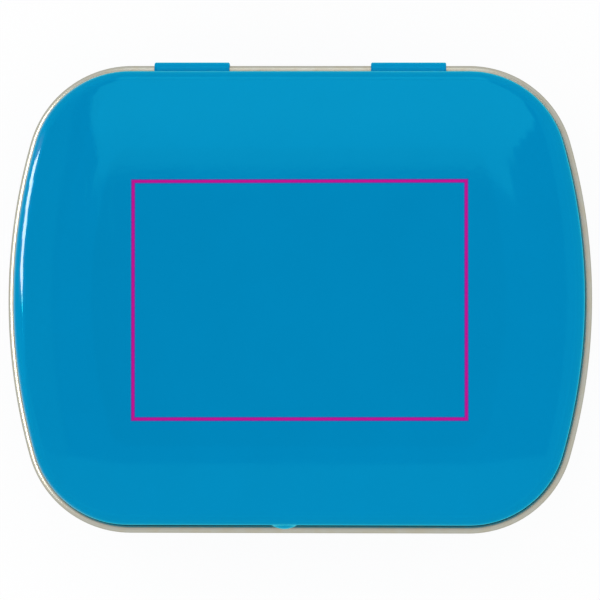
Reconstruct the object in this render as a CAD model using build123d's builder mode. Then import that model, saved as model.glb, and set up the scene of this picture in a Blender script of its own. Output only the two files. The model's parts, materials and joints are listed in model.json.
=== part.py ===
# Small hinged mint tin, drawn from thin lacquered tinplate.
#
# The tin is two pressings. The base is a pan with bowed ends, a foot ring, an edge curled
# inward at the top and two tongues cut from its back wall. The lid is a shallow cover whose
# skirt ends in an edge curled outward. The tongues reach out under that curl and wrap over
# it, through slots in the skirt, so the straight back of the curl is the hinge pin.
#
# Millimetres. The origin is the middle of the footprint on the table, +Z is up, the thumb
# bump faces -Y and the hinge is at +Y.

import os
from math import atan2, cos, degrees, pi, radians, sin, sqrt

from build123d import *

# Outline, measured over the lid's rolled edge
tin_width = 61.2
tin_depth = 49.0
corner_radius = 11.0
end_radius = 60.2  # the large bow of the two short ends

# Sheet and heights
sheet = 0.22
tin_height = 16.5
lid_depth = 6.4  # top of the lid to the underside of its rolled edge
rim_drop = 1.1  # top of the lid to the top of the base

# Edges
roll_radius = 0.55  # lid's outward curl, outside radius
roll_sweep = 294.0
rim_radius = 0.5  # base's inward curl, outside radius
rim_sweep = 285.0
lid_edge_radius = 1.3
base_edge_radius = 2.0

# Crown of the lid: the panel leaves its edge at a slight slope and levels out
crown_radius = 100.0
crown_slope = 4.3

# Foot ring and the floor pressed up inside it
foot_width = 2.0
floor_rise = 0.4
floor_slope = 45.0

# Fits
slip_clearance = 0.1  # least gap from the skirt to the base wall, anywhere in the travel
hinge_clearance = 0.09
slot_edge_clearance = 0.07

# Hinge tongues
tab_width = 7.9
tab_inset = 2.4  # from the end of the straight back edge to a tongue's outer end
tab_back_run = 0.34
tab_root_radius = 0.2
tab_wrap = 150.0
slot_side_gap = 0.5
window_side_gap = 0.15

# Thumb bump pressed out of the front of the skirt
bump_width = 2.7
bump_rise = 0.42
bump_offset = -1.5  # sideways from the middle
bump_drop = 3.2  # below the top of the lid

# Catch pressed out of the front of the base, which the rolled edge clicks over
catch_width = 3.0
catch_rise = 0.18
catch_lift = 0.95  # above the middle of the rolled edge

overrun = 1.0  # how far a cutting block runs past what it cuts

# Outline places
half_width = tin_width / 2
half_depth = tin_depth / 2
corner_y = half_depth - corner_radius
end_x = half_width - end_radius
corner_x = end_x + sqrt((end_radius - corner_radius) ** 2 - corner_y**2)
end_angle = degrees(atan2(corner_y, corner_x - end_x))

# Lid places. Distances across a wall run outward from the measured outline.
roll_centre = -roll_radius
roll_z = tin_height - lid_depth + roll_radius
skirt_inside = -2 * roll_radius
skirt_outside = skirt_inside + sheet
edge_centre = skirt_outside - lid_edge_radius
edge_z = tin_height - crown_radius + (crown_radius - lid_edge_radius) * cos(radians(crown_slope))
crown_centre = edge_centre - (crown_radius - lid_edge_radius) * sin(radians(crown_slope))

# The skirt swings inward a little as the front lifts, so the base wall stands back for it
rim_z = tin_height - rim_drop - rim_radius
swing_arm = tin_depth - 3 * roll_radius
skirt_swing = (rim_z - roll_z) ** 2 / (2 * swing_arm)
fit_gap = slip_clearance + skirt_swing

# Base places. The floor step is two equal bends that climb from the foot ring.
wall_outside = skirt_inside - fit_gap
wall_inside = wall_outside - sheet
rim_centre = wall_outside - rim_radius
step_radius = floor_rise / (2 * (1 - cos(radians(floor_slope))))
foot_outer = wall_outside - base_edge_radius
foot_inner = foot_outer - foot_width
floor_edge = foot_inner - 2 * step_radius * sin(radians(floor_slope))

# Hinge places, about the middle of the rolled edge
hinge_y = half_depth + roll_centre
tab_inner_radius = roll_radius + hinge_clearance
tab_outer_radius = tab_inner_radius + sheet
tab_bend_radius = tab_inner_radius - tab_back_run
tab_root_y = tab_root_radius - roll_radius - fit_gap
tab_root_z = -tab_outer_radius - tab_root_radius
tab_centre_x = corner_x - tab_inset - tab_width / 2
slot_height = sqrt((tab_outer_radius + slot_edge_clearance) ** 2 - (roll_radius - sheet) ** 2)

# Each window is as tall as the tongue that was cut out of it is long
bend_length = pi / 2 * (tab_root_radius + tab_bend_radius + sheet)
run_length = tab_back_run - tab_root_y + tab_back_run
wrap_length = radians(tab_wrap) * (tab_inner_radius + sheet / 2)
window_height = bend_length + run_length + wrap_length
window_z = roll_z + tab_root_z


def draw_bend(centre, outside_radius, start, sweep):
    """One bend of the sheet: an arc of the given outside radius, one sheet thick."""
    with BuildLine() as edge:
        outer = CenterArc(centre, outside_radius, start, sweep)
        inner = CenterArc(centre, outside_radius - sheet, start, sweep)
        Line(outer @ 0, inner @ 0)
        Line(outer @ 1, inner @ 1)
    make_face(edge.edges())


def draw_run(low, high):
    """One flat run of the sheet between two opposite corners of its section."""
    with BuildLine() as edge:
        Polyline(low, (high[0], low[1]), high, (low[0], high[1]), close=True)
    make_face(edge.edges())


def draw_outline(offset):
    """The whole bowed outline as one face, moved outward by an offset."""
    edge_y = half_depth + offset
    with BuildLine() as edge:
        CenterArc((end_x, 0), end_radius + offset, 0, end_angle)
        CenterArc((corner_x, corner_y), corner_radius + offset, end_angle, 90 - end_angle)
        Line((corner_x, edge_y), (0, edge_y))
        mirror(about=Plane.YZ)
        mirror(about=Plane.XZ)
    make_face(edge.edges())


def carry_section(draw_section):
    """Carries a wall section right round the outline. One quarter is half the straight back,
    a corner and half an end, and it is mirrored to the others."""
    normal_x = cos(radians(end_angle))
    normal_y = sin(radians(end_angle))
    end_start = (end_x + end_radius * normal_x, end_radius * normal_y, 0)
    with BuildPart() as ring:
        with BuildSketch(Plane((0, half_depth, 0), x_dir=(0, 1, 0), z_dir=(1, 0, 0))):
            draw_section()
        extrude(amount=corner_x)
        with BuildSketch(Plane((corner_x, half_depth, 0), x_dir=(0, 1, 0), z_dir=(1, 0, 0))):
            draw_section()
        revolve(axis=Axis((corner_x, corner_y, 0), (0, 0, 1)), revolution_arc=end_angle - 90)
        with BuildSketch(
            Plane(end_start, x_dir=(normal_x, normal_y, 0), z_dir=(normal_y, -normal_x, 0))
        ):
            draw_section()
        revolve(axis=Axis((end_x, 0, 0), (0, 0, 1)), revolution_arc=-end_angle)
        mirror(about=Plane.YZ)
        mirror(about=Plane.XZ)
    return ring.part


def draw_lid_section():
    """The lid's sloping crown, top edge and skirt, down to the middle of the rolled edge."""
    crown_z = tin_height - crown_radius
    draw_bend((crown_centre, crown_z), crown_radius, 90 - crown_slope, crown_slope)
    draw_bend((edge_centre, edge_z), lid_edge_radius, 0, 90 - crown_slope)
    draw_run((skirt_inside, roll_z), (skirt_outside, edge_z))


def draw_roll_section():
    """The hollow curl that ends the lid's skirt."""
    draw_bend((roll_centre, roll_z), roll_radius, 180, roll_sweep)


def draw_base_section():
    """The base's floor step, foot ring, bottom edge, wall and inward curl."""
    step_outside = step_radius + sheet / 2
    high_centre = (floor_edge, floor_rise + sheet - step_outside)
    draw_bend(high_centre, step_outside, 90 - floor_slope, floor_slope)
    draw_bend((foot_inner, step_outside), step_outside, 270 - floor_slope, floor_slope)
    draw_run((foot_inner, 0), (foot_outer, sheet))
    draw_bend((foot_outer, base_edge_radius), base_edge_radius, 270, 90)
    draw_run((wall_inside, base_edge_radius), (wall_outside, rim_z))
    draw_bend((rim_centre, rim_z), rim_radius, 0, rim_sweep)


def draw_tab_section():
    """A tongue seen from its end, about the hinge: root bend, run under the rolled edge,
    rear bend, short upright back and the wrap over the top."""
    draw_bend((tab_root_y, tab_root_z), tab_root_radius + sheet, 90, 90)
    draw_run((tab_root_y, -tab_outer_radius), (tab_back_run, -tab_inner_radius))
    draw_bend((tab_back_run, -tab_back_run), tab_bend_radius + sheet, 270, 90)
    draw_run((tab_inner_radius, -tab_back_run), (tab_outer_radius, 0))
    draw_bend((0, 0), tab_outer_radius, 0, tab_wrap)


def pressed_bump(face_y, x, z, width, rise):
    """A shallow round bump pressed out of a front wall whose outer face is at -face_y: the
    domed sheet, and the hollow that it leaves behind it."""
    ball_radius = (width**2 / 4 + rise**2) / (2 * rise)
    middle = (x, ball_radius - rise - face_y, z)
    wall_back = Plane((x, sheet - face_y, z), z_dir=(0, -1, 0))
    with BuildPart() as hollow:
        with Locations(middle):
            Sphere(ball_radius - sheet)
        split(bisect_by=wall_back, keep=Keep.TOP)
    with BuildPart() as dome:
        with Locations(middle):
            Sphere(ball_radius)
        split(bisect_by=wall_back, keep=Keep.TOP)
        add(hollow.part, mode=Mode.SUBTRACT)
    return dome.part, hollow.part


def tab_places(z):
    """Where the two tongues cross the back wall, left then right, at a height."""
    return [(way * tab_centre_x, hinge_y, z) for way in (-1, 1)]


# Lid cover: the blue crowned panel, its rounded edge and the skirt
lid_skin = carry_section(draw_lid_section)
thumb_dome, thumb_hollow = pressed_bump(
    half_depth + skirt_outside, bump_offset, tin_height - bump_drop, bump_width, bump_rise
)
with BuildPart() as lid_cover:
    add(lid_skin)
    with BuildSketch(Plane.XY.offset(tin_height - sheet)):
        draw_outline(crown_centre)
    extrude(amount=sheet)
    add(thumb_dome)
    add(thumb_hollow, mode=Mode.SUBTRACT)
    with Locations(tab_places(roll_z)):
        Box(
            tab_width + 2 * slot_side_gap,
            2 * (roll_radius + overrun),
            2 * slot_height,
            mode=Mode.SUBTRACT,
        )
lid_cover.part.label = "lid_cover"

# Lid rolled edge: the bare curl all round the skirt, which is also the hinge pin
rolled_skin = carry_section(draw_roll_section)
with BuildPart() as lid_rolled_edge:
    add(rolled_skin)
lid_rolled_edge.part.label = "lid_rolled_edge"

# Base pan: floor, foot ring, wall and inward rim, with two windows behind the tongues
base_skin = carry_section(draw_base_section)
catch_dome, catch_hollow = pressed_bump(
    half_depth + wall_outside, bump_offset, roll_z + catch_lift, catch_width, catch_rise
)
with BuildPart() as base_pan:
    add(base_skin)
    with BuildSketch(Plane.XY.offset(floor_rise)):
        draw_outline(floor_edge)
    extrude(amount=sheet)
    add(catch_dome)
    add(catch_hollow, mode=Mode.SUBTRACT)
    with Locations(tab_places(window_z)):
        Box(
            tab_width + 2 * window_side_gap,
            2 * (roll_radius + fit_gap + sheet + overrun),
            window_height,
            align=(Align.CENTER, Align.CENTER, Align.MIN),
            mode=Mode.SUBTRACT,
        )
base_pan.part.label = "base_pan"


def hinge_plane(x):
    """A plane across the hinge line, with its own X pointing back and its Y up."""
    return Plane((x, hinge_y, roll_z), x_dir=(0, 1, 0), z_dir=(1, 0, 0))


# Hinge tab, left: the tongue at -X, wrapped over the rolled edge
with BuildPart() as hinge_tab_left:
    with BuildSketch(hinge_plane(-tab_centre_x)):
        draw_tab_section()
    extrude(amount=tab_width / 2, both=True)
hinge_tab_left.part.label = "hinge_tab_left"

# Hinge tab, right: the tongue at +X
with BuildPart() as hinge_tab_right:
    with BuildSketch(hinge_plane(tab_centre_x)):
        draw_tab_section()
    extrude(amount=tab_width / 2, both=True)
hinge_tab_right.part.label = "hinge_tab_right"

os.makedirs("parts", exist_ok=True)
export_step(lid_cover.part, "parts/lid_cover.step")
export_step(lid_rolled_edge.part, "parts/lid_rolled_edge.step")
export_step(base_pan.part, "parts/base_pan.step")
export_step(hinge_tab_left.part, "parts/hinge_tab_left.step")
export_step(hinge_tab_right.part, "parts/hinge_tab_right.step")
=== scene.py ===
"""Dresses a small hinged mint tin: its lacquered lid and base, the bare rolled edge that is
also the hinge pin, the two hinge tabs and the outline printed on the lid.

Everything is in metres, in the tin's own frame: +X right, +Y back to the hinge, +Z up.
"""

import json
from math import atan2, cos, hypot, pi, radians, sin, sqrt

import bmesh
import bpy
import numpy as np
from bpy.props import BoolProperty, FloatProperty, FloatVectorProperty, PointerProperty
from mathutils import Matrix, Vector


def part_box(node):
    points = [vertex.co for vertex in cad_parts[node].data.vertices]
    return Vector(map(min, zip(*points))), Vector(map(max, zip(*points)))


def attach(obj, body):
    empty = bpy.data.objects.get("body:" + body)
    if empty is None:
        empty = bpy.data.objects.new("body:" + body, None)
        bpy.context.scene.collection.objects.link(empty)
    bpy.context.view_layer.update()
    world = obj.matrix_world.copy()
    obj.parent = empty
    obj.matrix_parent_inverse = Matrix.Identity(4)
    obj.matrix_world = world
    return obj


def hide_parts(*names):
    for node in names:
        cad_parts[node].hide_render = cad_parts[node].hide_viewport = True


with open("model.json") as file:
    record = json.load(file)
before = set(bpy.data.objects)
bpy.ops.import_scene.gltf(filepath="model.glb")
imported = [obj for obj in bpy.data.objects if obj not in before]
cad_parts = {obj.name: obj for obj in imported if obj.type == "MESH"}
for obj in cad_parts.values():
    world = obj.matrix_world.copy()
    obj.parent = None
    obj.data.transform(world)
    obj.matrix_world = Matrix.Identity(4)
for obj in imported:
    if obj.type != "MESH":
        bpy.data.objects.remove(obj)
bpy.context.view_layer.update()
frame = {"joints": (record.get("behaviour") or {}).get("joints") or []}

bl_info = {
    "name": "Mint tin",
    "version": (1, 0, 0),
    "blender": (4, 5, 0),
    "location": "View3D > Sidebar > Mint tin",
    "description": "Builds and finishes a small hinged mint tin",
    "category": "Object",
}

# Sizes that the solids give
ROLL_LOW, ROLL_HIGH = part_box("lid_rolled_edge")
LID_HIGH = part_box("lid_cover")[1]
TAB_LOW, TAB_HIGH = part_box("hinge_tab_right")
HINGE = Vector(frame["joints"][0]["pos_m"])

# How finely the outline is divided, and where rows lie inside a flat panel
SIDE_PITCH = 0.0007
CORNER_STEPS, END_STEPS = 26, 34
PANEL_SHARES = (0.12, 0.4, 0.7, 0.9)

# Values that several functions use
SQUARE = ((-1, -1), (1, -1), (1, 1), (-1, 1))
WHITE = (1.0, 1.0, 1.0, 1.0)


# Sizes and finishes


def kind(make, **settings):
    """A kind of property, which then takes a name, a default and a description."""

    def described(name, default, description, **more):
        return make(name=name, default=default, description=description, **{**settings, **more})

    return described


length = kind(FloatProperty, min=0.0, precision=5, unit="LENGTH")
offset = kind(FloatProperty, precision=5, unit="LENGTH")
spot = kind(FloatVectorProperty, size=2, precision=5, unit="LENGTH")
share = kind(FloatProperty, min=0.0, max=1.0, precision=3)
angle = kind(FloatProperty, subtype="ANGLE")
colour = kind(FloatVectorProperty, min=0.0, max=1.0, subtype="COLOR")
switch = kind(BoolProperty)


class TinSheet(bpy.types.PropertyGroup):
    """Sizes of the pressed tinplate."""

    tin_width: length("Width", ROLL_HIGH.x - ROLL_LOW.x, "Over the rolled edge, end to end")
    tin_depth: length("Depth", ROLL_HIGH.y - ROLL_LOW.y, "Over the rolled edge, front to back")
    tin_height: length("Height", LID_HIGH.z, "Table to the top of the shut lid")
    corner_radius: length("Corner radius", 0.011, "Outside the rolled edge")
    end_radius: length("End bow radius", 0.0602, "Of the two bowed ends")
    sheet: length("Sheet", 0.00022, "Thickness of the tinplate")
    roll_radius: length("Rolled edge radius", 0.00055, "Outside radius of the lid's curl")
    roll_turn: angle("Rolled edge turn", radians(294.0), "How far the lid's curl goes round")
    lid_edge_radius: length("Lid edge radius", 0.0013, "Between the panel and the skirt")
    crown_radius: length("Crown radius", 0.1, "Of the slope round the lid's panel")
    crown_slope: angle("Crown slope", radians(4.3), "Of the panel where it meets the edge")
    rim_drop: length("Rim drop", 0.0011, "Top of the lid to the top of the base")
    rim_radius: length("Rim radius", 0.0005, "Outside radius of the base's inward curl")
    rim_turn: angle("Rim turn", radians(285.0), "How far the base's curl goes round")
    fit_gap: length("Fit gap", 0.00029073, "Between the skirt and the base wall")
    base_edge_radius: length("Base edge radius", 0.002, "Between the floor and the wall")
    foot_width: length("Foot width", 0.002, "Of the flat ring that the tin stands on")
    floor_rise: length("Floor rise", 0.0004, "How far the floor is pressed up")
    floor_slope: angle("Floor step slope", radians(45.0), "Of the step up to the floor")


class TinHinge(bpy.types.PropertyGroup):
    """Sizes of the tongues, the places cut for them, the thumb bump and the catch."""

    tab_width: length("Tab width", TAB_HIGH.x - TAB_LOW.x, "Of each tongue")
    tab_centre: length("Tab centre", (TAB_HIGH.x + TAB_LOW.x) / 2, "From the middle of the tin")
    tab_clearance: length("Tab clearance", 0.00015, "Between tongue and rolled edge")
    tab_back_run: length("Tab back", 0.00034, "Upright stretch behind the rolled edge")
    tab_root_radius: length("Tab root radius", 0.0002, "Where a tongue leaves the wall")
    tab_wrap: angle("Tab wrap", radians(150.0), "How far a tongue goes over the rolled edge")
    tab_tip_radius: length("Tab tip radius", 0.0004, "Of a tongue's two tip corners")
    tab_edge_roll: length("Tab edge roll", 0.00017, "Radius that shearing leaves on its sides")
    slot_side_gap: length("Slot gap", 0.0005, "Beside a tongue, in the skirt")
    slot_edge_gap: length("Slot clearance", 0.00007, "Over a tongue, in the skirt")
    window_side_gap: length("Window gap", 0.00015, "Beside a tongue, in the base wall")
    bump_width: length("Thumb bump width", 0.0027, "Across the bump on the skirt")
    bump_rise: length("Thumb bump rise", 0.00042, "How far it stands out")
    bump_offset: offset("Thumb bump place", -0.0015, "From the middle, right is positive")
    bump_drop: length("Thumb bump drop", 0.0032, "Below the top of the lid")
    catch_width: length("Catch width", 0.003, "Across the bump on the base")
    catch_rise: length("Catch rise", 0.00018, "How far it stands out")
    catch_lift: length("Catch lift", 0.00095, "Above the middle of the rolled edge")


class TinFinish(bpy.types.PropertyGroup):
    """Colours and surface values of lacquer, tinplate and ink."""

    lacquer: colour("Lid lacquer", (0.0, 0.2465, 0.522), "Gloss blue on the lid")
    # painted light: the tabs are cut from the base wall, yet their blue is a lighter copy of the
    # base's blue, standing in for the light that falls on them
    tab_lacquer: colour("Tab lacquer", (0.0, 0.268, 0.58), "Gloss blue on the tabs")
    base_lacquer: colour("Base lacquer", (0.0, 0.239, 0.513), "Gloss blue on the base")
    film_tint: colour("Film tint", (0.0, 1.0, 1.0), "Tint of the clear film over the lacquer")
    film_index: share("Film index", 1.02, "Refractive index of the clear film's surface", max=2.0)
    lacquer_roughness: share("Lacquer roughness", 0.04, "Of the cured lacquer")
    varnish: share("Varnish", 0.97, "Weight of the clear film over the lacquer")
    # painted highlight colour: strength of the film gap laid along the gleam lamps' reflection on
    # the lid's left end, which turns that reflection white
    rubbed_film: share("Rubbed film", 0.95, "How much film is gone along the lid's left end")
    peel_depth: length("Orange peel", 0.0000008, "Height of the lacquer's fine ripple")
    wave_depth: length("Panel wave", 0.000008, "Height of the sheet's long waves")
    tinplate: colour("Tinplate", (0.49, 0.485, 0.42), "Bare bright tinplate")
    tinplate_roughness: share("Tinplate roughness", 0.3, "Of the bare plate outside")
    inside: colour("Inside plate", (0.6, 0.585, 0.55), "Varnished plate inside the tin")
    inside_roughness: share("Inside roughness", 0.26, "Of the plate inside the tin")
    cut_steel: colour("Cut edge", (0.36, 0.35, 0.34), "Sheared edge of the sheet")
    wear: share("Edge wear", 0.12, "How much lacquer is rubbed off edges")
    marks: share("Handling marks", 0.35, "Strength of smudges and hairlines")
    ink: colour("Print ink", (0.57, 0.0, 0.29), "Of the printed outline")
    ink_edge: colour("Thin ink", (0.05, 0.05, 0.38), "Where the ink thins out over the lacquer")


class TinPrint(bpy.types.PropertyGroup):
    """The printed outline on the lid."""

    show: switch("Printed outline", True, "Print the rectangle on the lid")
    width: length("Print width", 0.03457, "Middle of line to middle of line")
    depth: length("Print depth", 0.02468, "Middle of line to middle of line")
    line: length("Line width", 0.00044, "Of the printed line")
    film: length("Ink film", 0.000012, "Height of the ink above the lacquer")
    shift: spot("Print shift", (0.00013, -0.00027), "From the middle of the lid")
    turn: angle("Print turn", radians(0.13), "How far the print is out of square with the tin")


class TinStage(bpy.types.PropertyGroup):
    """Camera, floor and lamps."""

    camera_distance: length("Camera distance", 0.526, "To the level of the rolled edge")
    camera_right: angle("Camera right", radians(1.6), "Lean to the right of overhead")
    camera_front: angle("Camera front", radians(1.9), "Lean to the front of overhead")
    camera_roll: angle("Camera roll", radians(0.13), "Turn of the camera about its own axis")
    aim: spot("Aim", (0.000015, -0.00008), "Middle of the picture, level with the rolled edge")
    frame_width: length("Frame width", 0.0629, "Width seen at the rolled edge's level")
    room: share("Room light", 0.72, "Strength of the light from all round", max=4.0)
    overhead: share("Overhead", 0.2, "How bright the room looks overhead, in gloss and metal")
    floor_light: share("Floor light", 0.94, "How much of the floor shows as plain paper")
    paper: colour("Paper", (0.94, 0.94, 0.94), "Floor colour")


# Outline and sections


def divide(low, high, pitch, marks=()):
    """Even divisions from low to high that also pass through each mark."""
    stops = sorted({low, high, *marks})
    values = [low]
    for start, stop in zip(stops, stops[1:]):
        count = max(1, round((stop - start) / pitch))
        values += [start + (stop - start) * (step + 1) / count for step in range(count)]
    return values


class Outline:
    """The tin's bowed outline as stations, counter-clockwise from the middle of the back.
    Each station has a place on the outline, an outward normal and its distance along."""

    def __init__(self, sizes, back_marks=(), front_marks=()):
        half_depth = sizes.tin_depth / 2
        corner, end = sizes.corner_radius, sizes.end_radius
        corner_y = half_depth - corner
        end_x = sizes.tin_width / 2 - end
        corner_x = end_x + sqrt((end - corner) ** 2 - corner_y**2)
        bow = atan2(corner_y, corner_x - end_x)
        places, normals = [], []

        def arc(x, y, radius, start, stop, steps):
            for step in range(steps):
                turn = start + (stop - start) * step / steps
                normals.append((cos(turn), sin(turn)))
                places.append((x + radius * cos(turn), y + radius * sin(turn)))

        def straight(marks, y, normal_y):
            for x in marks:
                places.append((x, y))
                normals.append((0.0, normal_y))

        back = divide(-corner_x, corner_x, SIDE_PITCH, (0.0, *back_marks))[::-1]
        front = divide(-corner_x, corner_x, SIDE_PITCH, front_marks)
        straight([x for x in back if x <= 0.0][:-1], half_depth, 1.0)
        arc(-corner_x, corner_y, corner, pi / 2, pi - bow, CORNER_STEPS)
        arc(-end_x, 0.0, end, pi - bow, pi + bow, END_STEPS)
        arc(-corner_x, -corner_y, corner, pi + bow, 1.5 * pi, CORNER_STEPS)
        straight(front[:-1], -half_depth, -1.0)
        arc(corner_x, -corner_y, corner, 1.5 * pi, 2 * pi - bow, CORNER_STEPS)
        arc(end_x, 0.0, end, -bow, bow, END_STEPS)
        arc(corner_x, corner_y, corner, bow, pi / 2, CORNER_STEPS)
        straight([x for x in back if x > 0.0], half_depth, 1.0)
        self.places = np.array(places)
        self.normals = np.array(normals)
        steps = np.linalg.norm(np.roll(self.places, -1, 0) - self.places, axis=1)
        self.along = np.concatenate(([0.0], np.cumsum(steps)))

    def carry(self, section, panel=()):
        """Rows of 3-D points: the edge of a flat panel as an offset and a height, drawn in
        towards the middle by shares, and then a section of such points carried round."""
        stops = [(*panel, part) for part in PANEL_SHARES if panel]
        stops += [(*point, 1.0) for point in section]
        rows = np.empty((len(stops), len(self.places), 3))
        for row, (offset, height, part) in zip(rows, stops):
            row[:, :2] = (self.places + self.normals * offset) * part
            row[:, 2] = height
        return rows


def bend(centre, outside, inside, start, stop, steps):
    """Points on both faces of one bend, as two lists, with angles in radians."""
    turns = [start + (stop - start) * step / steps for step in range(steps + 1)]
    return [
        [(centre[0] + radius * cos(turn), centre[1] + radius * sin(turn)) for turn in turns]
        for radius in (outside, inside)
    ]


def upright(outside, inside, heights):
    """Points on both faces of a straight upright stretch."""
    return [[(offset, height) for height in heights] for offset in (outside, inside)]


def level(outside, inside, offsets):
    """Points on both faces of a straight level stretch."""
    return [[(offset, height) for offset in offsets] for height in (outside, inside)]


def join(*stretches):
    """Joins stretches of a section that meet, dropping the points they share."""
    faces = [list(face) for face in stretches[0]]
    for stretch in stretches[1:]:
        for face, points in zip(faces, stretch):
            face += points[1:]
    return faces


def lid_section(sizes, slot_top):
    """The lid's crown, edge and skirt, from the panel's edge outward and down, and that
    edge's offset with the heights of the panel's two faces."""
    top, sheet, slope = sizes.tin_height, sizes.sheet, sizes.crown_slope
    crown, edge = sizes.crown_radius, sizes.lid_edge_radius
    skirt_in = -2 * sizes.roll_radius
    skirt_out = skirt_in + sheet
    edge_x = skirt_out - edge
    edge_z = top - crown + (crown - edge) * cos(slope)
    flat_x = edge_x - (crown - edge) * sin(slope)
    heights = divide(HINGE.z, edge_z, 0.00018, (slot_top,))[::-1]
    section = join(
        bend((flat_x, top - crown), crown, crown - sheet, pi / 2, pi / 2 - slope, 12),
        bend((edge_x, edge_z), edge, edge - sheet, pi / 2 - slope, 0, 16),
        upright(skirt_out, skirt_in, heights),
    )
    return section, (flat_x, top, top - sheet)


def base_section(sizes, low, high):
    """The base's floor step, foot, edge, wall and rim, from the floor outward and up, and
    the floor's offset with its two heights. Low and high are the ends of the windows."""
    sheet, slope, edge = sizes.sheet, sizes.floor_slope, sizes.base_edge_radius
    rise, rim = sizes.floor_rise, sizes.rim_radius
    wall_out = -2 * sizes.roll_radius - sizes.fit_gap
    rim_z = sizes.tin_height - sizes.rim_drop - rim
    step = rise / (2 * (1 - cos(slope)))
    far, near = step + sheet / 2, step - sheet / 2
    foot_out = wall_out - edge
    foot_in = foot_out - sizes.foot_width
    floor_x = foot_in - 2 * step * sin(slope)
    heights = [edge]
    for start, stop, pitch in ((edge, low, 0.0011), (low, high, 0.00022), (high, rim_z, 0.0006)):
        heights += divide(start, stop, pitch)[1:]
    section = join(
        bend((floor_x, rise + sheet - far), near, far, pi / 2, pi / 2 - slope, 7),
        bend((foot_in, far), far, near, 1.5 * pi - slope, 1.5 * pi, 7),
        level(0.0, sheet, (foot_in, foot_out)),
        bend((foot_out, edge), edge, edge - sheet, 1.5 * pi, 2 * pi, 14),
        upright(wall_out, wall_out - sheet, heights),
        bend((wall_out - rim, rim_z), rim, rim - sheet, 0, sizes.rim_turn, 26),
    )
    return section, (floor_x, rise, rise + sheet)


def ramp(distance, run):
    """A share that grows from 0 to 1 over a run."""
    return np.clip(distance / run, 0, 1)


def press(rows, centre, width, rise):
    """Pushes a shallow round bump out of a front wall, with a softly drawn foot."""
    ball = (width**2 / 4 + rise**2) / (2 * rise)
    reach = np.hypot(rows[..., 0] - centre[0], rows[..., 2] - centre[1])
    cap = np.sqrt(np.maximum(ball**2 - reach**2, 0)) - (ball - rise)
    soft = rise * 0.07
    lift = 0.5 * (cap + np.sqrt(cap**2 + 4 * soft**2)) * ramp(width - reach, width * 0.35)
    rows[..., 1] -= np.where((rows[..., 1] < 0) & (reach < width), lift, 0)


# Meshes


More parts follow.
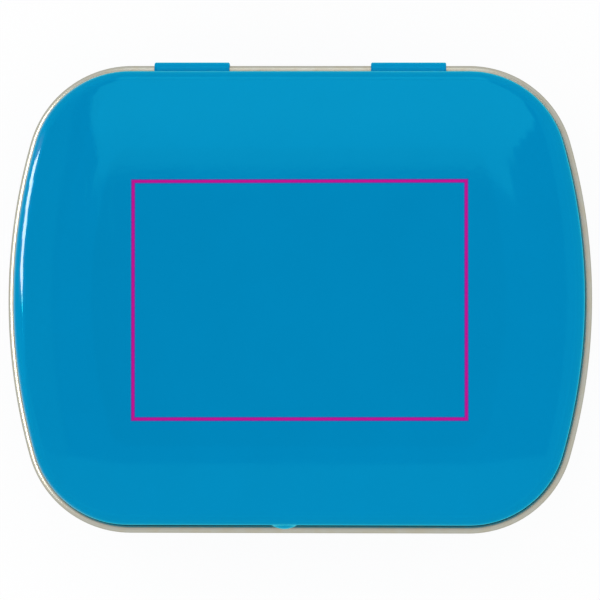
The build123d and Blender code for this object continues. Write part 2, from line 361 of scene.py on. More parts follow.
class SheetMesh:
    """A mesh of bent sheet: an outside and an inside face, with its cut edges between."""

    OUTSIDE, INSIDE, CUT = 0, 1, 2

    def __init__(
        self, outside, inside, along, closed=True, capped=False, cut=None, worn=None, rubbed=None
    ):
        self.rows, self.columns = outside.shape[:2]
        self.half = self.rows * self.columns
        self.closed = closed
        self.cells = self.columns if closed else self.columns - 1
        self.cut = np.zeros((self.rows - 1, self.cells), bool) if cut is None else cut
        self.points = np.concatenate((outside.reshape(-1, 3), inside.reshape(-1, 3)))
        self.along = along
        steps = np.linalg.norm(np.diff(outside[:, self.columns // 3], axis=0), axis=1)
        self.across = np.concatenate(([0.0], np.cumsum(steps)))
        self.worn = worn or [0.0] * self.rows
        # mask for painted highlight colour: where the lid's film is taken away along the gleam
        # lamps' reflection
        self.rubbed = rubbed
        self.faces, self.kinds, self.uvs = [], [], []
        self.edge_points = set()
        self.lay_faces()
        self.lay_edges(capped)
        if capped:
            self.lay_cap()

    def index(self, row, column, inner):
        return row * self.columns + column % self.columns + (self.half if inner else 0)

    def add(self, kind, *corners):
        """Adds a face by its corners: row, column and whether each is on the inside."""
        self.faces.append([self.index(*corner) for corner in corners])
        self.kinds.append(kind)
        self.uvs += [(self.along[column], self.across[row]) for row, column, _ in corners]

    def whole_cells(self):
        for row in range(self.rows - 1):
            for column in range(self.cells):
                if not self.cut[row, column]:
                    yield row, column, row + 1, column + 1

    def lay_faces(self):
        for row, column, below, beside in self.whole_cells():
            corners = ((row, column), (below, column), (below, beside), (row, beside))
            self.add(self.OUTSIDE, *((*corner, False) for corner in corners))
            self.add(self.INSIDE, *((*corner, True) for corner in reversed(corners)))

    def open_cell(self, row, column):
        """Whether a neighbouring cell is missing, past an end or cut away."""
        if row < 0 or row >= self.rows - 1:
            return True
        if self.closed:
            column %= self.cells
        elif column < 0 or column >= self.cells:
            return True
        return bool(self.cut[row, column])

    def lay_edges(self, capped):
        for row, column, below, beside in self.whole_cells():
            for neighbour, start, stop in (
                ((row - 1, column), (row, beside), (row, column)),
                ((below, column), (below, column), (below, beside)),
                ((row, column - 1), (row, column), (below, column)),
                ((row, beside), (below, beside), (row, beside)),
            ):
                joined_to_cap = capped and neighbour[0] < 0
                if self.open_cell(*neighbour) and not joined_to_cap:
                    ends = (*start, True), (*stop, True), (*stop, False), (*start, False)
                    self.add(self.CUT, *ends)
                    self.edge_points.update(self.faces[-1])

    def lay_cap(self):
        """Closes the middle of a panel with one fan on each face."""
        middle = len(self.points)
        ring = slice(0, self.columns), slice(self.half, self.half + self.columns)
        self.points = np.concatenate((self.points, [self.points[part].mean(0) for part in ring]))
        for column in range(self.cells):
            u0, u1 = self.along[column], self.along[column + 1]
            uv = [(u0, 0.0), (u1, 0.0), ((u0 + u1) / 2, -0.001)]
            ends = column, column + 1
            self.faces.append([*(self.index(0, end, False) for end in ends), middle])
            self.faces.append([*(self.index(0, end, True) for end in ends[::-1]), middle + 1])
            self.kinds += [self.OUTSIDE, self.INSIDE]
            self.uvs += uv + uv

    def build(self, name, materials):
        """Makes the object, with its materials, UV map, masks and shading."""
        mesh = bpy.data.meshes.new(name)
        mesh.from_pydata(self.points.tolist(), [], self.faces)
        for material in materials:
            mesh.materials.append(material)
        mesh.polygons.foreach_set("material_index", self.kinds)
        mesh.uv_layers.new(name="sheet").data.foreach_set("uv", np.ravel(self.uvs))
        worn = np.zeros(len(self.points))
        worn[: self.half] = np.repeat(self.worn, self.columns)
        worn[list(self.edge_points)] = 1.0
        masks = {"worn_edge": worn}
        # the film gap mask is painted highlight colour, laid where the gleam lamps' reflection
        # falls, not real rubbing
        if self.rubbed is not None:
            masks["rubbed_film"] = np.append(self.rubbed, np.zeros(len(worn) - self.half))
        for label, values in masks.items():
            mesh.attributes.new(label, "FLOAT", "POINT").data.foreach_set("value", values)
        editable = bmesh.new()
        editable.from_mesh(mesh)
        bmesh.ops.recalc_face_normals(editable, faces=editable.faces)
        editable.to_mesh(mesh)
        editable.free()
        mesh.polygons.foreach_set("use_smooth", [True] * len(mesh.polygons))
        mesh.set_sharp_from_angle(angle=radians(38))
        mesh.update()
        return add_object(name, mesh)


def add_object(name, data):
    """Puts a new object in the scene."""
    made = bpy.data.objects.new(name, data)
    bpy.context.scene.collection.objects.link(made)
    return made


def cells_between(stations, after, low, high):
    """Which cells, each from a station to the one after it, lie wholly between two values."""
    slack = 1e-7
    least, most = np.minimum(stations, after), np.maximum(stations, after)
    return (least > low - slack) & (most < high + slack)


# Shader helpers


class Nodes:
    """Adds nodes to a tree from left to right and links them."""

    def __init__(self, tree):
        self.tree = tree

    def fill(self, node, values):
        """Gives inputs of a node their values: a socket is linked, anything else is set."""
        for name, value in values.items():
            if isinstance(value, bpy.types.NodeSocket):
                self.tree.links.new(value, node.inputs[name])
            else:
                node.inputs[name].default_value = value

    def add(self, kind, label="", inputs=None, **settings):
        node = self.tree.nodes.new(kind)
        node.label = label
        row, column = divmod(len(self.tree.nodes), 8)
        node.location = (220 * column - 900, -260 * row)
        for name, value in settings.items():
            setattr(node, name, value)
        self.fill(node, inputs or {})
        return node

    def place(self):
        """Where a point lies on its piece."""
        return self.add("ShaderNodeTexCoord").outputs["Object"]

    def mask(self, name, label):
        """A mask that the mesh carries."""
        return self.add("ShaderNodeAttribute", label, attribute_name=name).outputs["Fac"]

    def math(self, operation, first, second=0.0, label="", clamp=False):
        values = {0: first, 1: second}
        node = self.add("ShaderNodeMath", label, values, operation=operation, use_clamp=clamp)
        return node.outputs[0]

    def noise(self, vector, scale, detail, roughness, label):
        values = {"Vector": vector, "Scale": scale, "Detail": detail, "Roughness": roughness}
        return self.add("ShaderNodeTexNoise", label, values).outputs["Fac"]

    def remap(self, value, low, high, to_low=0.0, to_high=1.0, label=""):
        values = {"From Min": low, "From Max": high, "To Min": to_low, "To Max": to_high}
        return self.add("ShaderNodeMapRange", label, {"Value": value, **values}).outputs["Result"]

    def blend(self, amount, first, second, label=""):
        values = {0: amount, 6: first, 7: second}
        return self.add("ShaderNodeMix", label, values, data_type="RGBA").outputs[2]

    def relief(self, height):
        """The normal that a height in metres gives."""
        values = {"Height": height, "Strength": 1.0, "Distance": 1.0}
        return self.add("ShaderNodeBump", "Relief", values).outputs["Normal"]

    def effect(self, name, **values):
        """Places an effect's node group with its own values, and gives its outputs."""
        group = bpy.data.node_groups.get(name) or new_group(name, *EFFECTS[name])
        values = {label.replace("_", " ").title(): value for label, value in values.items()}
        return self.add("ShaderNodeGroup", name, values, node_tree=group).outputs

    def rays(self):
        """Whether a ray is the camera's, and whether it is that, a mirrored or a passing one."""
        kinds = self.add("ShaderNodeLightPath").outputs
        mirrored = self.math("MAXIMUM", kinds["Is Glossy Ray"], kinds["Is Transmission Ray"])
        return kinds["Is Camera Ray"], self.math("MAXIMUM", kinds["Is Camera Ray"], mirrored)

    def surface(self, output, amount, first, second):
        """Ends the tree in a mix of two shaders."""
        values = {0: amount, 1: first.outputs[0], 2: second.outputs[0]}
        mix = self.add("ShaderNodeMixShader", inputs=values)
        self.fill(self.tree.nodes[output], {"Surface": mix.outputs[0]})


def shade(tint, part=1.0):
    """A colour for a socket, darkened or lightened by a factor."""
    return (*[min(channel * part, 1.0) for channel in tint], 1.0)


def new_group(name, draw, outputs, inputs):
    """A shader node group with named inputs and outputs, drawn by one of the effects."""
    group = bpy.data.node_groups.new(name, "ShaderNodeTree")
    for label in (*inputs, *outputs):
        way = "INPUT" if label in inputs else "OUTPUT"
        socket = group.interface.new_socket(
            name=label, in_out=way, socket_type="NodeSocketFloat"
        )
        socket.default_value = inputs.get(label, 0.0)
    nodes = Nodes(group)
    given = nodes.add("NodeGroupInput").outputs
    finish = nodes.add("NodeGroupOutput")
    nodes.fill(finish, dict(zip(outputs, draw(nodes, given))))
    return group


def sheet_relief(nodes, given):
    """Height of pressed sheet: long panel waves and the fine orange peel of its coating."""
    place = nodes.place()
    heights = []
    for part, detail, roughness in (("Wave", 1.0, 0.4), ("Peel", 1.5, 0.5)):
        scale = nodes.math("DIVIDE", 1.0, given[f"{part} Size"], f"{part}s in a metre")
        height = nodes.noise(place, scale, detail, roughness, part)
        heights.append(nodes.math("MULTIPLY", height, given[f"{part} Depth"]))
    return [nodes.math("ADD", *heights, "Relief")]


def handling_marks(nodes, given):
    """Soft smudges and a few fine hairlines from handling, as two masks."""
    place = nodes.place()
    scale = nodes.math("DIVIDE", 1.0, given["Smudge Size"], "Smudges in a metre")
    smudge = nodes.noise(place, scale, 5.0, 0.62, "Smudges")
    smudge = nodes.remap(smudge, 0.48, 0.72, label="Smudge edge")
    lines = None
    for turn, across, along in ((0.5, 5200.0, 90.0), (2.1, 4300.0, 70.0), (-0.35, 6100.0, 110.0)):
        values = {"Vector": place, "Scale": (across, along, along), "Rotation": (0.0, 0.0, turn)}
        way = nodes.add("ShaderNodeMapping", "Hairline way", values).outputs["Vector"]
        streak = nodes.noise(way, 1.0, 0.0, 0.5, "Hairlines")
        thin = nodes.remap(streak, 0.735, 0.77, label="Thin lines")
        lines = nodes.math("MAXIMUM", lines, thin) if lines else thin
    patch = nodes.remap(nodes.noise(place, 85.0, 1.0, 0.5, "Scuffed places"), 0.5, 0.62)
    lines = nodes.math("MULTIPLY", lines, patch)
    return [nodes.math("MULTIPLY", mask, given["Amount"]) for mask in (smudge, lines)]


def edge_wear(nodes, given):
    """Where lacquer has rubbed thin: broken patches along bends and cut edges."""
    place = nodes.place()
    scale = nodes.math("DIVIDE", 1.0, given["Patch Size"], "Patches in a metre")
    patch = nodes.noise(place, scale, 4.0, 0.65, "Patches")
    broad = nodes.noise(place, 160.0, 1.0, 0.5, "Where it is handled")
    broken = nodes.math("ADD", patch, nodes.math("MULTIPLY", broad, 0.6))
    reach = nodes.math("MULTIPLY", nodes.mask("worn_edge", "Worn edge"), broken)
    eased = nodes.math("MULTIPLY", given["Amount"], 0.8)
    over = nodes.math("SUBTRACT", reach, nodes.math("SUBTRACT", 1.02, eased, "Limit"))
    return [nodes.math("MULTIPLY", over, 14.0, "Patch edge", clamp=True)]


def rolled_grain(nodes, given):
    """The faint grain that rolling leaves in tinplate, drawn along the sheet's own length,
    and the soft mottle of its tin."""
    sheet = nodes.add("ShaderNodeUVMap", uv_map="sheet").outputs["UV"]
    parts = nodes.add("ShaderNodeSeparateXYZ", inputs={"Vector": sheet}).outputs
    run = nodes.math("DIVIDE", parts["X"], given["Grain Length"], "Along")
    over = nodes.math("DIVIDE", parts["Y"], given["Grain Width"], "Across")
    way = nodes.add("ShaderNodeCombineXYZ", inputs={"X": run, "Y": over}).outputs["Vector"]
    scale = nodes.math("DIVIDE", 1.0, given["Mottle Size"], "Spangles in a metre")
    return [
        nodes.noise(way, 1.0, 3.0, 0.6, "Grain"),
        nodes.noise(nodes.place(), scale, 3.0, 0.55, "Tin mottle"),
    ]


# Each effect's drawing, outputs and inputs
EFFECTS = {
    "Sheet relief": (
        sheet_relief,
        ("Height",),
        {"Wave Size": 0.016, "Wave Depth": 0.00001, "Peel Size": 0.0005, "Peel Depth": 5e-7},
    ),
    "Handling marks": (
        handling_marks, ("Smudge", "Hairline"), {"Smudge Size": 0.009, "Amount": 0.4}
    ),
    "Edge wear": (edge_wear, ("Mask",), {"Amount": 0.15, "Patch Size": 0.0006}),
    "Rolled grain": (
        rolled_grain,
        ("Tone", "Mottle"),
        {"Grain Length": 0.006, "Grain Width": 0.00005, "Mottle Size": 0.002},
    ),
}


def blue_lacquer(nodes, tint, finish):
    """Gloss lacquer on tinplate: slight tone changes, orange peel, handling marks, worn edges."""
    depths = {"wave_depth": finish.wave_depth, "peel_depth": finish.peel_depth}
    sheet = nodes.effect("Sheet relief", **depths)["Height"]
    marks = nodes.effect("Handling marks", amount=finish.marks)
    worn = nodes.effect("Edge wear", amount=finish.wear)["Mask"]
    tone = nodes.remap(nodes.noise(nodes.place(), 140.0, 3.0, 0.6, "Coating tone"), 0.3, 0.7)
    coat = nodes.blend(tone, shade(tint, 0.988), shade(tint, 1.012), "Lacquer")
    smudge = nodes.math("MULTIPLY", marks["Smudge"], 0.05)
    hairline = nodes.math("MULTIPLY", marks["Hairline"], 0.25)
    marked = nodes.math("ADD", smudge, hairline)
    # painted highlight colour: the film is taken off along the gleam lamps' reflection so that it
    # shows white
    rubbed = nodes.mask("rubbed_film", "Rubbed film")
    gone = nodes.math("MAXIMUM", nodes.math("MULTIPLY", rubbed, finish.rubbed_film), worn)
    kept = nodes.math("SUBTRACT", 1.0, gone, "Where the film is left")
    groove = nodes.math("MULTIPLY", marks["Hairline"], -0.0000006)
    return {
        "Base Color": nodes.blend(worn, coat, shade(finish.tinplate), "Rubbed edges"),
        "Metallic": worn,
        "Roughness": nodes.math("ADD", marked, finish.lacquer_roughness),
        "IOR": 1.5,
        "Coat Weight": nodes.math("MULTIPLY", kept, finish.varnish),
        "Coat Roughness": 0.03,
        "Coat IOR": finish.film_index,
        "Coat Tint": shade(finish.film_tint),
        "Normal": nodes.relief(nodes.math("ADD", sheet, groove)),
    }


def bare_plate(nodes, tint, roughness, finish, grain=0.006, mottle_size=0.002, mottle=0.5):
    """Bare tinplate: bright, with rolled grain, soft mottle and a few hairlines."""
    rolled = nodes.effect("Rolled grain", grain_length=grain, mottle_size=mottle_size)
    sheet = nodes.effect(
        "Sheet relief", wave_depth=finish.wave_depth, peel_size=0.00016, peel_depth=0.0000004
    )["Height"]
    marks = nodes.effect("Handling marks", amount=finish.marks)
    tone = nodes.remap(rolled["Tone"], 0.25, 0.75)
    plate = nodes.blend(tone, shade(tint, 0.88), shade(tint, 1.08), "Grain")
    warm = (tint[0] * 0.98, tint[1] * 0.92, tint[2] * 0.83, 1.0)
    mottled = nodes.remap(rolled["Mottle"], 0.42, 0.64, 0.0, mottle)
    rough = nodes.math("MULTIPLY", rolled["Mottle"], 0.14)
    rough = nodes.math("ADD", rough, roughness - 0.06)
    smudge = nodes.math("MULTIPLY", marks["Smudge"], 0.1)
    ridge = nodes.math("MULTIPLY", rolled["Tone"], 0.0000009)
    return {
        "Base Color": nodes.blend(mottled, plate, warm, "Mottle"),
        "Metallic": 1.0,
        "Specular Tint": (0.6, 0.6, 0.55, 1.0),
        "Roughness": nodes.math("ADD", rough, smudge),
        "Normal": nodes.relief(nodes.math("ADD", sheet, ridge)),
    }


def sheared_steel(nodes, tint):
    """The sheared edge of the sheet: duller, streaked across its thickness."""
    streak = nodes.noise(nodes.place(), 14000.0, 3.0, 0.6, "Shear marks")
    tone = nodes.remap(streak, 0.3, 0.7)
    return {
        "Base Color": nodes.blend(tone, shade(tint, 0.7), shade(tint), "Shear"),
        "Metallic": 1.0,
        "Roughness": nodes.remap(streak, 0.3, 0.7, 0.34, 0.52),
        "Normal": nodes.relief(nodes.math("MULTIPLY", streak, 0.000004)),
    }


def printed_ink(nodes, finish):
    """Screen-printed ink: solid in the middle of its line, thin enough at the line's edges
    for the lacquer to darken it."""
    cover = nodes.noise(nodes.place(), 5200.0, 3.0, 0.6, "Ink cover")
    tone = nodes.remap(cover, 0.3, 0.65)
    tone = nodes.blend(tone, shade(finish.ink, 0.9), shade(finish.ink), "Ink")
    line = nodes.mask("across_line", "Across the line")
    side = nodes.math("SUBTRACT", nodes.math("MULTIPLY", line, 2.0), 1.0)
    depth = nodes.math("SUBTRACT", 1.0, nodes.math("ABSOLUTE", side), "In from the line's edge")
    ragged = nodes.math("MULTIPLY", nodes.math("SUBTRACT", cover, 0.5), 0.25, "Ragged edge")
    solid = nodes.remap(nodes.math("ADD", depth, ragged), 0.14, 0.62, label="Solid ink")
    return {
        "Base Color": nodes.blend(solid, shade(finish.ink_edge), tone, "Thin at the edges"),
        "Roughness": nodes.remap(cover, 0.3, 0.7, 0.26, 0.38),
        "Specular IOR Level": 0.08,
        "Normal": nodes.relief(nodes.math("MULTIPLY", cover, 0.0000015)),
    }


def plain_paper(nodes, stage):
    """Plain paper that shows its own shadow faintly and reads white to the eye and in gloss."""
    fibre = nodes.noise(nodes.place(), 900.0, 4.0, 0.6, "Paper fibre")
    _, seen = nodes.rays()
    amount = nodes.math("MULTIPLY", seen, stage.floor_light, "Plain share")
    white = nodes.add("ShaderNodeEmission", "White paper", {"Color": WHITE, "Strength": 1.0})
    nodes.surface("Material Output", amount, nodes.tree.nodes["Principled BSDF"], white)
    return {
        "Base Color": nodes.blend(fibre, shade(stage.paper, 0.985), shade(stage.paper), "Paper"),
        "Roughness": 0.9,
        "Specular IOR Level": 0.1,
    }


def finished(name, draw, *values, **named):
    """A material by name, made once and then shared. Drawing it gives the sockets' values."""
    material = bpy.data.materials.get(name)
    if material is None:
        material = bpy.data.materials.new(name)
        material.use_nodes = True
        nodes = Nodes(material.node_tree)
        values = draw(nodes, *values, **named)
        nodes.fill(nodes.tree.nodes["Principled BSDF"], values)
    return material


def plate_set(finish, lacquer_name, tint):
    """Materials of a piece of sheet: lacquered outside, bare inside, sheared edge."""
    inside = (finish.inside, finish.inside_roughness, finish)
    return [
        finished(lacquer_name, blue_lacquer, tint, finish),
        finished("Inside plate", bare_plate, *inside, grain=0.012),
        finished("Sheared edge", sheared_steel, finish.cut_steel),
    ]


# Pieces


def pressing(scene, section, panel, slots, bump, worn_at, highlight_gap_at=None):
    """A panel and its wall in one piece, with two places cut from its back for the tongues
    and a bump pressed out of its front. The slots are the gap beside a tongue, their lower
    and their upper end. The bump is its height above the table, its width and its rise."""
    sizes, hinge = scene.tin_sheet, scene.tin_hinge
    gap, low, high = slots
    half = hinge.tab_width / 2 + gap
    spans = [(way * hinge.tab_centre - half, way * hinge.tab_centre + half) for way in (-1, 1)]
    height, width, rise = bump
    steps, reach = 24, 0.75
    bump_marks = [
        hinge.bump_offset + width * (step / steps - reach)
        for step in range(int(2 * reach * steps) + 1)
    ]
    outline = Outline(sizes, spans[0] + spans[1], bump_marks)
    flat_x, *flat_z = panel
    outer, inner = (outline.carry(face, (flat_x, z)) for face, z in zip(section, flat_z))
    x, y, z = outline.places[:, 0], outer[:, 0, 1], outer[:, 0, 2]
    rows = np.isclose(y[:-1], y[1:]) & cells_between(z[:-1], z[1:], low, high)
    columns = np.zeros(len(x), bool)
    for span in spans:
        columns |= cells_between(x, np.roll(x, -1), *span)
    cut = rows[:, None] & (columns & (outline.normals[:, 1] > 0.999))
    for face in (outer, inner):
        press(face, (hinge.bump_offset, height), width, rise)
    worn = [0.0] * len(PANEL_SHARES) + [worn_at(z) for _, z in section[0]]
    # painted highlight colour: the film gap along the gleam lamps' reflection on the lid
    rubbed = highlight_gap_at and highlight_gap_at(outer, sizes)
    return SheetMesh(
        outer, inner, outline.along, capped=True, cut=cut, worn=worn, rubbed=rubbed
    )


class TIN_OT_lid_cover(bpy.types.Operator):
    """Build the lid: crowned panel, rounded edge, skirt with thumb bump and hinge slots"""

    bl_idname = "tin.lid_cover"
    bl_label = "Lid cover"
    bl_options = {"REGISTER", "UNDO"}

    def execute(self, context):
        scene = context.scene
        sizes, hinge, finish = scene.tin_sheet, scene.tin_hinge, scene.tin_finish
        top, edge = sizes.tin_height, sizes.lid_edge_radius
        reach = sizes.roll_radius + hinge.tab_clearance + sizes.sheet + hinge.slot_edge_gap
        slot_top = HINGE.z + sqrt(reach**2 - (sizes.roll_radius - sizes.sheet) ** 2)
        slots = (hinge.slot_side_gap, HINGE.z, slot_top)
        bump = (top - hinge.bump_drop, hinge.bump_width, hinge.bump_rise)

        def worn_at(z):
            """Most worn on the fold between panel and skirt."""
            return 0.8 * float(np.exp(-(((top - z - edge * 0.42) / (edge * 0.35)) ** 2)))

        section, panel = lid_section(sizes, slot_top)
        # the lid's film gap follows the gleam lamps' reflection: painted highlight colour
        mesh = pressing(scene, section, panel, slots, bump, worn_at, film_gap_along_highlight)
        piece = mesh.build("lid_shell", plate_set(finish, "Lid lacquer", finish.lacquer))
        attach(piece, "lid")
        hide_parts("lid_cover")
        return {"FINISHED"}


def film_gap_along_highlight(points, sizes):
    """How far the clear film is taken away at the left end. It is laid along the path where the
    gleam lamps' reflection falls for the camera overhead, so that this reflection shows white
    instead of cyan: a painted highlight colour, not wear. It runs along the shoulder behind the
    middle, and more weakly down by the rolled edge, where it whitens the edge's reflection as
    well. Tilts are in degrees from level."""
    streak_tilt, tilt_per_metre, half_spread, softness = 16.5, 1100, 14, 8
    streak_front, streak_back, end_softness = -0.0005, 0.0172, 0.0015
    low_start, low_run, low_end, low_softness, low_strength = 50, 20, 88, 4, 0.6
    low_x, low_x_run = 0.0205, 0.0055
    x, y, z = points[..., 0], points[..., 1], points[..., 2]
    edge, crown = sizes.lid_edge_radius, sizes.crown_radius
    middle_z = sizes.tin_height - crown + (crown - edge) * cos(sizes.crown_slope)
    tilt = np.degrees(np.arccos(np.clip((z - middle_z) / edge, 0, 1)))
    off_streak = np.abs(tilt - streak_tilt - tilt_per_metre * y)
    shoulder = ramp(half_spread - off_streak, softness)
    shoulder *= ramp(y - streak_front, end_softness) * ramp(streak_back - y, end_softness)
    low = low_strength * ramp(tilt - low_start, low_run) * ramp(low_end - tilt, low_softness)
    low *= ramp(-x - low_x, low_x_run)
    return np.where(x < 0, np.maximum(shoulder, low), 0)


class TIN_OT_rolled_edge(bpy.types.Operator):
    """Build the bare curl round the lid's skirt, which is also the hinge pin"""

    bl_idname = "tin.rolled_edge"
    bl_label = "Rolled edge"
    bl_options = {"REGISTER", "UNDO"}

    def execute(self, context):
        sizes, finish = context.scene.tin_sheet, context.scene.tin_finish
        outline = Outline(sizes)
        radius, start = sizes.roll_radius, pi
        curl = bend(
            (-radius, HINGE.z), radius, radius - sizes.sheet, start, start + sizes.roll_turn, 30
        )
        mesh = SheetMesh(*(outline.carry(face) for face in curl), outline.along)
        plate = (finish.tinplate, finish.tinplate_roughness, finish)
        rolled = finished("Rolled tinplate", bare_plate, *plate, mottle_size=0.0012, mottle=0.7)
        sheared = finished("Sheared edge", sheared_steel, finish.cut_steel)
        piece = mesh.build("rolled_edge", [rolled, rolled, sheared])
        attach(piece, "lid")
        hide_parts("lid_rolled_edge")
        return {"FINISHED"}


class TIN_OT_base_pan(bpy.types.Operator):
    """Build the base: floor, foot, wall, inward rim, two windows and the catch"""

    bl_idname = "tin.base_pan"
    bl_label = "Base pan"
    bl_options = {"REGISTER", "UNDO"}

    def execute(self, context):
        scene = context.scene
        sizes, hinge, finish = scene.tin_sheet, scene.tin_hinge, scene.tin_finish
        low, high = window_heights(sizes, hinge)
        windows = (hinge.window_side_gap, low, high)
        catch = (HINGE.z + hinge.catch_lift, hinge.catch_width, hinge.catch_rise)

        def worn_at(z):
            """Worn a little on the bend that the tin slides on."""
            return 0.55 if 0.0 < z < sizes.base_edge_radius * 0.6 else 0.0

        section, panel = base_section(sizes, low, high)
        mesh = pressing(scene, section, panel, windows, catch, worn_at)
        piece = mesh.build("base_shell", plate_set(finish, "Base lacquer", finish.base_lacquer))
        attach(piece, "base")
        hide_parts("base_pan")
        return {"FINISHED"}


def tab_sizes(sizes, hinge):
    """The tongue's radii and root place, about the hinge line."""
    inner = sizes.roll_radius + hinge.tab_clearance
    outer = inner + sizes.sheet
    root_y = hinge.tab_root_radius - sizes.roll_radius - sizes.fit_gap
    root_z = -outer - hinge.tab_root_radius
    return inner, outer, root_y, root_z


def window_heights(sizes, hinge):
    """The bottom and top of the window that each tongue was cut from."""
    inner, outer, root_y, root_z = tab_sizes(sizes, hinge)
    rear = inner - hinge.tab_back_run
    bends = pi / 2 * (hinge.tab_root_radius + rear + sizes.sheet)
    runs = 2 * hinge.tab_back_run - root_y
    wrap = hinge.tab_wrap * (inner + sizes.sheet / 2)
    low = HINGE.z + root_z
    return low, low + bends + runs + wrap


def tongue_section(sizes, hinge):
    """A tongue from its root in the wall to its tip over the rolled edge."""
    inner, outer, root_y, root_z = tab_sizes(sizes, hinge)
    sheet, back, root = sizes.sheet, hinge.tab_back_run, hinge.tab_root_radius
    return join(
        bend((root_y, root_z), root, root + sheet, pi, pi / 2, 8),
        level(-outer, -inner, (root_y, back)),
        bend((back, -back), inner - back + sheet, inner - back, 1.5 * pi, 2 * pi, 10),
        upright(outer, inner, (-back, 0.0)),
        bend((0.0, 0.0), outer, inner, 0.0, hinge.tab_wrap, 30),
    )


def tongue(sizes, hinge, centre):
    """One tongue, its tip corners rounded in the flat before it was bent."""
    section = tongue_section(sizes, hinge)
    steps = [hypot(b[0] - a[0], b[1] - a[1]) for a, b in zip(section[0], section[0][1:])]
    to_tip = [sum(steps[row:]) for row in range(len(section[0]))]
    half_width, tip, roll = hinge.tab_width / 2, hinge.tab_tip_radius, hinge.tab_edge_roll
    near = roll / half_width
    steps_in = near * (1 - np.cos(np.linspace(0, pi / 2, 7)))
    across = np.concatenate(
        (steps_in - 1, np.linspace(near - 1, 1 - near, 35)[1:-1], 1 - steps_in[::-1])
    )
    in_from_edge = np.minimum((1 - np.abs(across)) * half_width, roll)
    sunk = (roll - np.sqrt(roll**2 - (roll - in_from_edge) ** 2)) / sizes.sheet
    faces = []
    for face in section:
        rows = np.empty((len(face), len(across), 3))
        for row, (y, z), left in zip(rows, face, to_tip):
            short = max(0.0, 1 - left / tip)
            half = half_width - tip * (1 - sqrt(max(0.0, 1 - short**2)))
            row[:, 0] = centre + across * half
            row[:, 1] = HINGE.y + y
            row[:, 2] = HINGE.z + z
        faces.append(rows)
    faces[0] += (faces[1] - faces[0]) * sunk[None, :, None] * (0.0, 1.0, 1.0)
    return SheetMesh(*faces, (across + 1) * half_width, closed=False)


class TIN_OT_hinge_tabs(bpy.types.Operator):
    """Build the two tongues that wrap over the rolled edge"""

    bl_idname = "tin.hinge_tabs"
    bl_label = "Hinge tabs"
    bl_options = {"REGISTER", "UNDO"}

    def execute(self, context):
        scene = context.scene
        sizes, hinge, finish = scene.tin_sheet, scene.tin_hinge, scene.tin_finish
        for name, node, way in (
            ("tab_left", "hinge_tab_left", -1),
            ("tab_right", "hinge_tab_right", 1),
        ):
            mesh = tongue(sizes, hinge, way * hinge.tab_centre)
            # the tabs take a lighter copy of the base's blue: painted light
            piece = mesh.build(name, plate_set(finish, "Tab lacquer", finish.tab_lacquer))
            soften = piece.modifiers.new("Soft edges", "BEVEL")
            soften.width = sizes.sheet * 0.18
            soften.segments = 2
            soften.limit_method = "ANGLE"
            soften.angle_limit = radians(50)
            soften.material = SheetMesh.CUT
            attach(piece, "base")
            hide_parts(node)
        return {"FINISHED"}


class TIN_OT_print(bpy.types.Operator):
    """Print the outline on the lid"""

    bl_idname = "tin.print_outline"
    bl_label = "Printed outline"
    bl_options = {"REGISTER", "UNDO"}

    def execute(self, context):
        art, sizes = context.scene.tin_print, context.scene.tin_sheet
        if not art.show:
            return {"FINISHED"}
        work = bmesh.new()
        across = work.verts.layers.float.new("across_line")
        rings = []
        for grow, lift in ((1, -art.film), (1, art.film), (-1, art.film), (-1, -art.film)):
            half_x, half_y = (side / 2 + grow * art.line / 2 for side in (art.width, art.depth))
            ring = [work.verts.new((x * half_x, y * half_y, lift)) for x, y in SQUARE]
            for corner in ring:
                corner[across] = (1 - grow) / 2
            rings.append(ring)
        for first, second in zip(rings, rings[1:] + rings[:1]):
            for side in range(4):
                after = (side + 1) % 4
                work.faces.new((first[side], first[after], second[after], second[side]))
        bmesh.ops.recalc_face_normals(work, faces=work.faces)
        move = Matrix.Translation((*art.shift, sizes.tin_height))
        work.transform(move @ Matrix.Rotation(art.turn, 4, "Z"))
        mesh = bpy.data.meshes.new("print_outline")
        work.to_mesh(mesh)
        work.free()
        mesh.materials.append(finished("Print ink", printed_ink, context.scene.tin_finish))
        piece = add_object("print_outline", mesh)
        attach(piece, "lid")
        return {"FINISHED"}


# Stage


def lay_paper(scene):
    """A sheet of plain paper under the tin, far wider than the picture."""
    reach = 3.0
    mesh = bpy.data.meshes.new("paper")
    mesh.from_pydata([(x * reach, y * reach, 0) for x, y in SQUARE], [], [(0, 1, 2, 3)])
    mesh.materials.append(finished("Paper", plain_paper, scene.tin_stage))
    paper = add_object("paper", mesh)


def light_room(scene):
    """Even light from all round, white to the camera and dimmer overhead in gloss."""
    world = bpy.data.worlds.new("Room")
    scene.world = world
    world.use_nodes = True
    nodes = Nodes(world.node_tree)
    plain = nodes.tree.nodes["Background"]
    nodes.fill(plain, {"Color": WHITE, "Strength": scene.tin_stage.room})
    camera, seen = nodes.rays()
    way = nodes.add("ShaderNodeTexCoord").outputs["Generated"]
    height = nodes.add("ShaderNodeSeparateXYZ", inputs={"Vector": way}).outputs["Z"]
    ceiling = nodes.remap(height, 0.5, 0.99, 1.0, scene.tin_stage.overhead, "Dimmer overhead")
    strength = nodes.math("MAXIMUM", ceiling, camera)
    white = nodes.add("ShaderNodeBackground", "White", {"Color": WHITE, "Strength": strength})
    nodes.surface("World Output", seen, plain, white)


def add_lamp(name, place, target, size, radiance, slide=(0.0, 0.0)):
    """A rectangular softbox aimed at a point, as bright as the given share of white, and
    then slid in its own plane."""
    data = bpy.data.lights.new(name, "AREA")
    data.shape = "RECTANGLE"
    data.size, data.size_y = size
    data.energy = radiance * pi * size[0] * size[1]
    lamp = add_object(name, data)
    facing = (Vector(target) - Vector(place)).to_track_quat("-Z", "Y")
    lamp.location = Vector(place) + facing @ Vector((*slide, 0.0))
    lamp.rotation_euler = facing.to_euler()
    return lamp


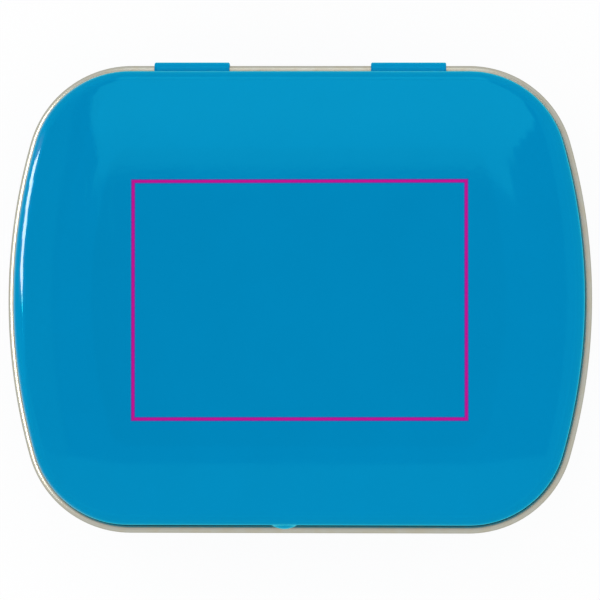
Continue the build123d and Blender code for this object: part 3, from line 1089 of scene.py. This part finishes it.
def add_panel(name, low, high, z, radiance):
    """A level softbox over the tin that fills a rectangle of the ceiling."""
    middle = ((low[0] + high[0]) / 2, (low[1] + high[1]) / 2)
    size = (high[0] - low[0], high[1] - low[1])
    add_lamp(name, (*middle, z), (*middle, 0.0), size, radiance)


def light_only(lamps, piece):
    """Lets lamps show in the gloss of one piece and nowhere else."""
    lit = bpy.data.collections.new(f"Lit {piece}")
    lit.objects.link(bpy.data.objects[piece])
    for lamp in lamps:
        lamp.visible_diffuse = False
        lamp.light_linking.receiver_collection = lit


def flag_off(lamps, foot, low, high):
    """Stands a bent card on a line along the lid's left end, which keeps lamps on the left
    off the lid's top. It shades nothing else and is never seen itself."""
    mesh = bpy.data.meshes.new("flag")
    corners = [(x, y, z) for x, y in foot for z in (low, high)]
    turns = range(0, len(corners) - 2, 2)
    mesh.from_pydata(corners, [], [(turn, turn + 1, turn + 3, turn + 2) for turn in turns])
    flag = add_object("flag", mesh)
    flag.visible_camera = flag.visible_diffuse = flag.visible_glossy = False
    flag.visible_transmission = flag.visible_volume_scatter = False
    blockers = bpy.data.collections.new("Flag")
    blockers.objects.link(flag)
    for lamp in lamps:
        lamp.light_linking.blocker_collection = blockers


def hang_lamps():
    """Fills overhead, a softbox behind that fades towards the front, and lamps on the left
    for the streak along the lid's end and the bright side of the rolled edge."""
    tin, fill_height, rear_height = (0, 0, 0.016), 0.8, 0.9
    add_panel("Front fill", (-0.6, -0.76), (0.6, -0.053), fill_height, 0.5)
    add_panel("Right fill", (0.155, -0.45), (0.755, 0.45), fill_height, 0.42)
    add_panel("Left fill", (-0.7, -0.45), (-0.16, 0.45), fill_height, 0.25)
    add_panel("Rear softbox", (-0.14, 0.15), (0.145, 0.63), rear_height, 1.35)
    strips, skirt_front, skirt_depth = 5, 0.0655, 0.0845
    for strip in range(strips):
        near, far = (skirt_front + skirt_depth * line / strips for line in (strip, strip + 1))
        part = (strip + 0.5) / strips
        low, high = (-0.108 - 0.032 * part, near), (0.07 + 0.075 * part, far)
        add_panel(f"Rear softbox skirt {strip}", low, high, rear_height, 1.0 + 0.35 * part)
    key = add_lamp("Left key", (-0.55, 0.2, 0.62), tin, (0.4, 0.3), 2.6)
    key.visible_glossy = False
    add_lamp("Rear bank", (0.0, 0.69, 0.58), tin, (0.3, 0.35), 1.3)
    window = add_lamp("Left window", (-0.53, 0.05, 0.45), tin, (0.68, 0.15), 11.0)
    light_only([window], "rolled_edge")

    gleam_place, left_edge = (-0.58, 0.108, 0.434), (-0.0285, 0.005, 0.016)
    gleam_size, slant, gleams = (0.0365, 0.4), 3.0, []
    for step in range(4):
        side = -0.062 + gleam_size[0] * (step + 0.5)
        slide = (-side, 0.01 - slant * side)
        name = f"Lid gleam {step}"
        gleams.append(add_lamp(name, gleam_place, left_edge, gleam_size, 15.0, slide))
    light_only(gleams, "lid_shell")
    straight = ((-0.0265, 0.05), (-0.0265, 0.0163))
    bowed = ((-0.02775, 0.0105), (-0.02835, 0.0052), (-0.0285, -0.05))
    flag_off(gleams, straight + bowed, 0.0162, 0.17)


def set_camera(scene):
    """A camera that leans a little off overhead, framed on the level of the rolled edge."""
    stage = scene.tin_stage
    data = bpy.data.cameras.new("Camera")
    data.sensor_width = 36.0
    data.lens = data.sensor_width * stage.camera_distance / stage.frame_width
    data.clip_start, data.clip_end = 0.01, 10.0
    target = Vector((*stage.aim, HINGE.z))
    lean = Vector((sin(stage.camera_right), -sin(stage.camera_front), 0.0))
    lean.z = sqrt(1 - lean.length_squared)
    up = Vector((0, 1, 0))
    up = (up - up.project(lean)).normalized()
    turn = Matrix((up.cross(lean), up, lean)).transposed()
    turn = turn @ Matrix.Rotation(stage.camera_roll, 3, "Z")
    move = Matrix.Translation(target + lean * stage.camera_distance)
    camera = add_object("Camera", data)
    camera.matrix_world = move @ turn.to_4x4()
    scene.camera = camera


class TIN_OT_stage(bpy.types.Operator):
    """Set the tin on white paper under soft lamps, with the camera almost overhead"""

    bl_idname = "tin.stage"
    bl_label = "Stage"
    bl_options = {"REGISTER", "UNDO"}

    def execute(self, context):
        lay_paper(context.scene)
        light_room(context.scene)
        hang_lamps()
        set_camera(context.scene)
        context.scene.view_settings.view_transform = "Standard"
        return {"FINISHED"}


# Panel and running


class TIN_PT_panel(bpy.types.Panel):
    """Lists the tin's pieces and sizes"""

    bl_idname = "TIN_PT_panel"
    bl_label = "Mint tin"
    bl_space_type = "VIEW_3D"
    bl_region_type = "UI"
    bl_category = "Mint tin"

    def draw(self, context):
        column = self.layout.column(align=True)
        for operator in OPERATORS:
            column.operator(operator.bl_idname)
        for holder in GROUPS:
            group = getattr(context.scene, holder)
            box = self.layout.box()
            box.label(text=holder.replace("_", " ").capitalize())
            for name in group.__annotations__:
                box.prop(group, name)


GROUPS = {
    "tin_sheet": TinSheet,
    "tin_hinge": TinHinge,
    "tin_finish": TinFinish,
    "tin_print": TinPrint,
    "tin_stage": TinStage,
}
OPERATORS = (
    TIN_OT_base_pan,
    TIN_OT_hinge_tabs,
    TIN_OT_lid_cover,
    TIN_OT_rolled_edge,
    TIN_OT_print,
    TIN_OT_stage,
)
CLASSES = (*GROUPS.values(), *OPERATORS, TIN_PT_panel)


def register():
    for made in CLASSES:
        bpy.utils.register_class(made)
    for name, group in GROUPS.items():
        setattr(bpy.types.Scene, name, PointerProperty(type=group))


def unregister():
    for name in GROUPS:
        delattr(bpy.types.Scene, name)
    for made in reversed(CLASSES):
        bpy.utils.unregister_class(made)


def main():
    register()
    bpy.ops.tin.base_pan()
    bpy.ops.tin.hinge_tabs()
    bpy.ops.tin.lid_cover()
    bpy.ops.tin.rolled_edge()
    bpy.ops.tin.print_outline()
    bpy.ops.tin.stage()
    bpy.context.view_layer.update()


if __name__ == "__main__":
    main()
